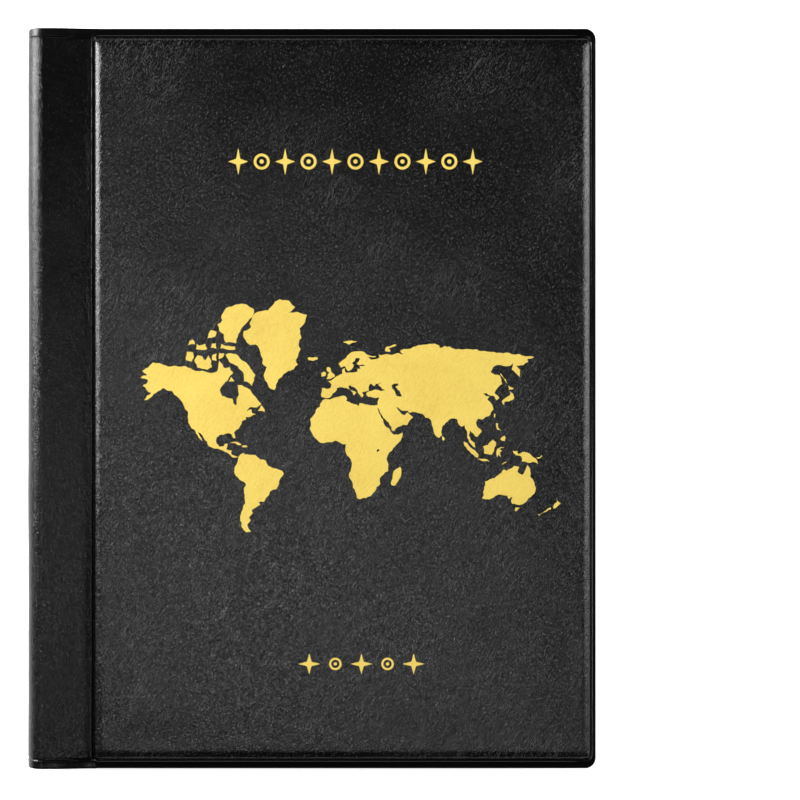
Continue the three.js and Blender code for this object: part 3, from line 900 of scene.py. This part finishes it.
NEW_WORLD = {
    "north_america": [
        (-168, 65.7), (-162, 66.5), (-166.5, 68.3), (-156.5, 71.2), (-141, 69.7), (-128, 70),
        (-115, 68.2), (-108, 68), (-97, 68), (-95, 71.8), (-91, 69.5), (-85, 69.5), (-82, 67.5),
        (-87, 64.5), (-94.5, 60), (-92.5, 57), (-82.5, 55.2), (-82, 52.9), (-79, 51.3), (-79, 54.8),
        (-76.7, 57.5), (-78, 62.3), (-70, 61.2), (-65, 58.8), (-61.5, 56.5), (-56, 52.2), (-60, 50.1),
        (-66.5, 50.2), (-70, 47), (-65, 48.9), (-64.5, 46.3), (-61, 45.5), (-66, 43.7), (-70, 43.7),
        (-70.2, 41.8), (-74, 40.5), (-75.8, 36.5), (-77, 34.5), (-81.3, 31.2), (-80, 26.5), (-81.8, 26.2),
        (-83.8, 30), (-89, 30.2), (-94.5, 29.4), (-97.3, 27), (-97.5, 21.5), (-95, 18.4), (-91, 18.6),
        (-90, 21), (-87, 21.4), (-88.5, 16), (-83.3, 15), (-83.6, 11), (-80, 9.4), (-77.6, 8.7),
        (-79.5, 8), (-83, 8.3), (-86, 11.5), (-88, 13.2), (-94.5, 16.1), (-99, 16.7), (-105.3, 20),
        (-106, 23), (-109.3, 26.6), (-112.8, 31), (-114.6, 31.5), (-111.5, 26.3), (-109.6, 23),
        (-112.3, 25.2), (-115, 29), (-117.2, 32.8), (-120.6, 34.6), (-123.8, 39.5), (-124.2, 43),
        (-123.8, 47), (-128, 51.5), (-133, 56), (-139, 59.6), (-147, 61), (-152, 59.3), (-158.5, 56),
        (-164.5, 54.6), (-158, 58.5), (-162, 59.8), (-166, 62), (-161, 64.3),
    ],
    "newfoundland": [(-59.2, 47.7), (-53, 46.8), (-53, 48.8), (-56, 51.5)],
    "baffin": [
        (-61.5, 66.5), (-65, 62), (-72, 64), (-73, 67.8), (-78, 70), (-86, 71.5), (-89, 73.5),
        (-80, 73.7), (-72, 71.5), (-66, 69),
    ],
    "victoria": [
        (-118, 71.8), (-115.5, 69.5), (-106, 68.6), (-101.8, 69.6), (-102.5, 71.8), (-105, 73.3),
        (-108, 71.8), (-110.5, 73), (-115, 73.3),
    ],
    "banks": [(-125.8, 71.9), (-120.5, 71.4), (-118.5, 72.6), (-119.5, 74.2), (-125, 74.3)],
    "prince_patrick": [(-124, 76), (-117.5, 76.2), (-119.5, 77.3), (-122.5, 77)],
    "ringnes": [(-106, 77.6), (-99, 77.9), (-97.5, 78.9), (-103, 79.2)],
    "bathurst": [(-103, 75.4), (-97.6, 75.1), (-98, 76.5), (-101.8, 76.4)],
    "southampton": [(-86, 63.8), (-81, 64), (-84, 65.9)],
    "ellesmere": [
        (-88.5, 76.6), (-79.5, 76.4), (-77.8, 77.8), (-75.6, 78.9), (-69.5, 80.5), (-63.8, 81.6),
        (-62.6, 82.4), (-70, 83.1), (-78, 83.1), (-86, 82.8), (-93, 81.6), (-92, 80.9), (-96.5, 80.2),
        (-95, 79.2), (-90.5, 78.3),
    ],
    "devon": [(-94, 75.2), (-84, 74.8), (-80, 74.9), (-80.5, 75.7), (-89, 75.8), (-93, 76.3)],
    "somerset": [(-95.5, 72.2), (-91.5, 72.8), (-90.5, 73.9), (-95, 74)],
    "prince_of_wales": [(-101.5, 71.9), (-97.5, 71.6), (-97.4, 73.8), (-101.4, 73.4)],
    "melville": [(-116.5, 75), (-111, 74.8), (-106, 75.1), (-108, 76.3), (-113.5, 75.9), (-116, 76.4)],
    "cuba": [(-84.8, 22), (-80, 23.1), (-74.3, 20.2), (-77.7, 19.9), (-80, 21.8)],
    "hispaniola": [(-74.3, 18.4), (-68.5, 18.4), (-70, 19.8), (-73, 19.8)],
    "greenland": [
        (-73, 78.3), (-70.5, 77.2), (-66.5, 76), (-62, 76.2), (-58.5, 75.5), (-55.5, 72.8), (-54.8, 70.6),
        (-51, 69.6), (-53.6, 67), (-52, 64.2), (-48.4, 61), (-43.8, 60), (-42.4, 62.4), (-40, 65),
        (-37, 65.8), (-32, 68), (-26, 68.8), (-22, 70.4), (-24, 72), (-21.8, 73.4), (-19.5, 75),
        (-21.5, 76.3), (-18.8, 77.6), (-20.6, 79.5), (-16.5, 80.3), (-13.5, 81.7), (-22, 82.1), (-31, 82),
        (-24.5, 82.8), (-30, 83.5), (-39, 83.7), (-46, 82.9), (-50, 82.3), (-54, 82.3), (-60, 82.1),
        (-64.5, 81.2), (-66.8, 80.4), (-65.2, 79.8), (-72.5, 79),
    ],
    "south_america": [
        (-77.2, 8.5), (-75.5, 10.7), (-71.8, 12.4), (-71.5, 10.8), (-67, 10.6), (-62, 10.6), (-57, 6),
        (-51.5, 4.5), (-50, 0.5), (-44, -2.8), (-37, -5), (-35, -8), (-38.5, -13), (-39.5, -18),
        (-42, -23), (-47.8, -25), (-49, -28.5), (-53.5, -34), (-58.3, -34), (-57, -36.5), (-62, -39),
        (-65, -41), (-63.8, -42.7), (-67.5, -46), (-65.8, -47.8), (-69, -50.5), (-68.3, -52.5),
        (-65.5, -54.8), (-70, -55.3), (-74.5, -52), (-75.5, -47), (-73.2, -40), (-71.5, -30),
        (-70.2, -18.5), (-76.3, -13.8), (-81.2, -6), (-81, -2.2), (-78.5, 2), (-77.5, 6),
    ],
}
LAKE_VICTORIA = [(31.8, -2), (34, -1), (33.6, 0.4), (32, -0.2)]
CASPIAN = [
    (47.5, 45.3), (53, 46.7), (53, 45), (50.5, 44.5), (53, 41), (54, 37.3), (50, 37.5), (49.2, 40.5),
    (47.5, 43),
]

# Where longitude and latitude nought fall on the cover, and the map's scale across and up, in mm
OLD_WORLD_ORIGIN = (7.3, -17.2)
OLD_WORLD_DEGREE = 0.4628
OLD_WORLD_TALL = 38.85
NEW_WORLD_ORIGIN = (3.5, -22.6)
NEW_WORLD_DEGREE = 0.3638
NEW_WORLD_TALL = 19.36


def old_world_point(longitude, latitude):
    """Places a point by a rounded projection that narrows towards the poles."""
    phi = math.radians(latitude)
    narrow = 1 - 0.155 * phi**2 - 0.012 * phi**4
    rise = 0.0124 * latitude * (1 - 0.082 * (latitude / 90) ** 4)
    x, y = OLD_WORLD_ORIGIN
    return (x + OLD_WORLD_DEGREE * longitude * narrow, y + OLD_WORLD_TALL * rise)


def new_world_point(longitude, latitude):
    """Places a point by Mercator's projection, which widens the far north."""
    rise = math.log(math.tan(math.pi / 4 + math.radians(latitude) / 2))
    x, y = NEW_WORLD_ORIGIN
    return (x + NEW_WORLD_DEGREE * longitude, y + NEW_WORLD_TALL * rise)


def rough_coast(points, chance, depth=0.14, finest=1.1):
    """Splits long edges at uneven midpoints, so that a coast isn't a row of straight lines."""
    changed = True
    while changed:
        changed = False
        finer = []
        for (x0, y0), (x1, y1) in zip(points, points[1:] + points[:1]):
            finer.append((x0, y0))
            length = math.hypot(x1 - x0, y1 - y0)
            if length > finest:
                offset = chance.uniform(-depth, depth)
                finer.append(((x0 + x1) / 2 - (y1 - y0) * offset, (y0 + y1) / 2 + (x1 - x0) * offset))
                changed = True
        points = finer
    return points


def inside_polygon(x, y, polygon):
    inside = False
    for (x0, y0), (x1, y1) in zip(polygon, polygon[1:] + polygon[:1]):
        if (y0 > y) != (y1 > y) and x < (x1 - x0) * (y - y0) / (y1 - y0) + x0:
            inside = not inside
    return inside


def foil_patch(outline, holes=(), spacing=3.0):
    """Triangles filling an outline less its holes, with inner points so that it can drape."""
    loops = [outline, *holes]
    points, edges = [], []
    for loop in loops:
        first = len(points)
        points += [Vector(p) for p in loop]
        edges += [(first + i, first + (i + 1) % len(loop)) for i in range(len(loop))]
    xs, ys = [p[0] for p in outline], [p[1] for p in outline]
    for x in np.arange(min(xs) + spacing / 2, max(xs), spacing):
        for y in np.arange(min(ys) + spacing / 2, max(ys), spacing):
            if inside_polygon(x, y, outline):
                points.append(Vector((x, y)))
    vertices, _, faces = delaunay_2d_cdt(points, edges, [], 0, 1e-4)[:3]
    kept = []
    for face in faces:
        x = sum(vertices[i][0] for i in face) / len(face)
        y = sum(vertices[i][1] for i in face) / len(face)
        if inside_polygon(x, y, outline) and not any(inside_polygon(x, y, hole) for hole in holes):
            kept.append(face)
    return [(v[0], v[1]) for v in vertices], kept


FOIL_LIFT = 0.05  # how far the foil's face stands above the leather, in mm
FOIL_SINK = 0.10  # how far its underside lies below it


def foil_object(name, patches, seed):
    """Thin closed gold plates, draped on the front cover's pad and just proud of it."""
    build = bmesh.new()
    for points, faces in patches:
        flat = np.array(points)
        leather = THICKNESS + panel_height(flat[:, 0], flat[:, 1], seed)
        spots = [(x * MM, y * MM) for x, y in points]
        upper = [build.verts.new((*spot, (z + FOIL_LIFT) * MM)) for spot, z in zip(spots, leather)]
        lower = [build.verts.new((*spot, (z - FOIL_SINK) * MM)) for spot, z in zip(spots, leather)]
        directed = set()
        for face in faces:
            build.faces.new([upper[i] for i in face])
            build.faces.new([lower[i] for i in reversed(face)])
            directed.update(zip(face, list(face[1:]) + [face[0]]))
        for a, b in sorted(directed):
            if (b, a) not in directed:
                build.faces.new([upper[a], lower[a], lower[b], upper[b]])
    loose = [v for v in build.verts if not v.link_faces]
    bmesh.ops.delete(build, geom=loose, context="VERTS")
    bmesh.ops.recalc_face_normals(build, faces=build.faces[:])
    mesh = bpy.data.meshes.new(name)
    build.to_mesh(mesh)
    build.free()
    layer = mesh.uv_layers.new(name="UVMap")
    for loop in mesh.loops:
        layer.data[loop.index].uv = mesh.vertices[loop.vertex_index].co.xy
    mesh.materials.append(FOIL)
    piece = bpy.data.objects.new(name, mesh)
    bpy.context.scene.collection.objects.link(piece)
    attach(piece, "front_cover")


def world_map(seed):
    """The generic world map in gold foil."""
    chance = random.Random(4)
    patches = []
    for place, lands in ((old_world_point, OLD_WORLD), (new_world_point, NEW_WORLD)):
        for land, coast in lands.items():
            outline = rough_coast([place(*p) for p in coast], chance)
            seas = (CASPIAN, LAKE_VICTORIA) if land == "mainland" else ()
            holes = [rough_coast([place(*p) for p in sea], chance) for sea in seas]
            patches.append(foil_patch(outline, holes))
    foil_object("foil_world_map", patches, seed)


def ring(x, y, outer, inner, sides=40):
    """A flat ring as an outline with one hole."""
    turns = [2 * math.pi * i / sides for i in range(sides)]
    return (
        [(x + outer * math.cos(t), y + outer * math.sin(t)) for t in turns],
        [[(x + inner * math.cos(t), y + inner * math.sin(t)) for t in turns]] if inner else [],
    )


def star(x, y, half_width, half_height):
    """A four-pointed star with hollow sides."""
    points = []
    for step in range(8):
        turn = math.pi / 4 * step
        reach = 1.0 if step % 2 == 0 else 0.3
        across = half_width * reach * math.cos(turn)
        up = half_height * reach * math.sin(turn)
        points.append((x + across, y + up))
    return points, []


def ornament(name, centre, width, height, repeats, seed):
    """A plain band of four-pointed stars with a ring between each two."""
    x0, y0 = centre
    pitch = width / repeats
    shapes = []
    for index in range(repeats):
        x = x0 + (index - (repeats - 1) / 2) * pitch
        if index % 2 == 0:
            shapes.append(star(x, y0, pitch * 0.42, height * 0.5))
        else:
            shapes.append(ring(x, y0, height * 0.30, height * 0.20))
            shapes.append(ring(x, y0, height * 0.08, 0, 16))
    patches = [foil_patch(outline, holes, 2.0) for outline, holes in shapes]
    foil_object(name, patches, seed)


# ---------------------------------------------------------------- carried-over CAD parts
def paint_frame_parts():
    """Gives the CAD parts that stay in view their finishes."""
    finishes = {"pad_foam": FOAM, "cover_board": BOARD, "inner_lining": LINING}
    slots = {row["node"]: row["material_slot"] for row in frame["record"]["subparts"]}
    for node, slot_name in slots.items():
        if slot_name in finishes:
            part = bpy.data.objects[node]
            part.data.materials.clear()
            part.data.materials.append(finishes[slot_name])


# ---------------------------------------------------------------- stage, lights and camera
def stage():
    """A plain, evenly pale floor."""
    bpy.ops.mesh.primitive_plane_add(size=6, location=(0, 0, -0.0004))
    floor = bpy.context.object
    floor.name = "floor"
    graph = Graph("floor", (0.86, 0.86, 0.86), 0.8, specular=0.1)
    graph.shader.inputs["Emission Color"].default_value = (1, 1, 1, 1)
    graph.shader.inputs["Emission Strength"].default_value = 0.9
    floor.data.materials.append(graph.material)


def area_light(name, location, target, size, power):
    light = bpy.data.lights.new(name, "AREA")
    light.shape = "RECTANGLE"
    light.size, light.size_y = size
    light.energy = power
    lamp = bpy.data.objects.new(name, light)
    lamp.location = location
    lamp.rotation_euler = (Vector(target) - Vector(location)).to_track_quat("-Z", "Y").to_euler()
    bpy.context.scene.collection.objects.link(lamp)


def lights():
    """A tall strip light each side, a softbox overhead, and a pale band low on the horizon."""
    world = bpy.data.worlds.new("studio")
    bpy.context.scene.world = world
    world.use_nodes = True
    nodes, links = world.node_tree.nodes, world.node_tree.links
    direction = nodes.new("ShaderNodeTexCoord")
    split = nodes.new("ShaderNodeSeparateXYZ")
    ramp = nodes.new("ShaderNodeValToRGB")
    links.new(direction.outputs["Generated"], split.inputs[0])
    links.new(split.outputs["Z"], ramp.inputs["Fac"])
    links.new(ramp.outputs["Color"], nodes["Background"].inputs["Color"])
    stops = ((0.03, 0.9), (0.14, 0.008))
    for element, (position, grey) in zip(ramp.color_ramp.elements, stops):
        element.position = position
        element.color = (grey, grey, grey, 1)
    area_light("left_strip", (-0.75, 0.27, 0.41), (0, 0.03, 0.02), size=(0.30, 0.6), power=14)
    area_light("right_strip", (0.95, 0.16, 0.62), (0, 0, 0.02), size=(0.30, 1.0), power=9)
    softbox_at, softbox_to = (-0.07, -0.104, 0.9), (-0.03, -0.06, 0.02)
    area_light("overhead_softbox", softbox_at, softbox_to, size=(0.25, 0.08), power=0.72)


FRAME_WIDTH = 0.2702
VIEW_OFFSET = (0.0299, -0.0005)
CAMERA_DISTANCE = 1.2


def camera():
    """Straight down on the closed album, which sits left of the middle of the view."""
    data = bpy.data.cameras.new("camera")
    data.sensor_width = 36
    data.lens = 36 * (CAMERA_DISTANCE + RIM_DROP * MM) / FRAME_WIDTH
    data.clip_start = 0.05
    viewer = bpy.data.objects.new("camera", data)
    viewer.location = (*VIEW_OFFSET, CAMERA_DISTANCE + THICKNESS * MM)
    bpy.context.scene.collection.objects.link(viewer)
    bpy.context.scene.camera = viewer
    bpy.context.scene.view_settings.view_transform = "Standard"


# ---------------------------------------------------------------- assembly
FRONT_SEED = 11
BACK_SEED = 31

camera()
padded_cover("front", FRONT_SEED, coarse=0.9)
padded_cover("back", BACK_SEED, coarse=1.5)
cover_pad("front", FRONT_SEED)
cover_pad("back", BACK_SEED)
strip_lining("front")
strip_lining("back")
leather_wrap()
page_block()
leaves()
world_map(FRONT_SEED)
ornament("foil_upper_band", centre=(14.9, 79.9), width=87, height=9, repeats=11, seed=FRONT_SEED)
ornament("foil_lower_band", centre=(16.9, -89.5), width=44, height=7, repeats=5, seed=FRONT_SEED)
paint_frame_parts()
stage()
lights()
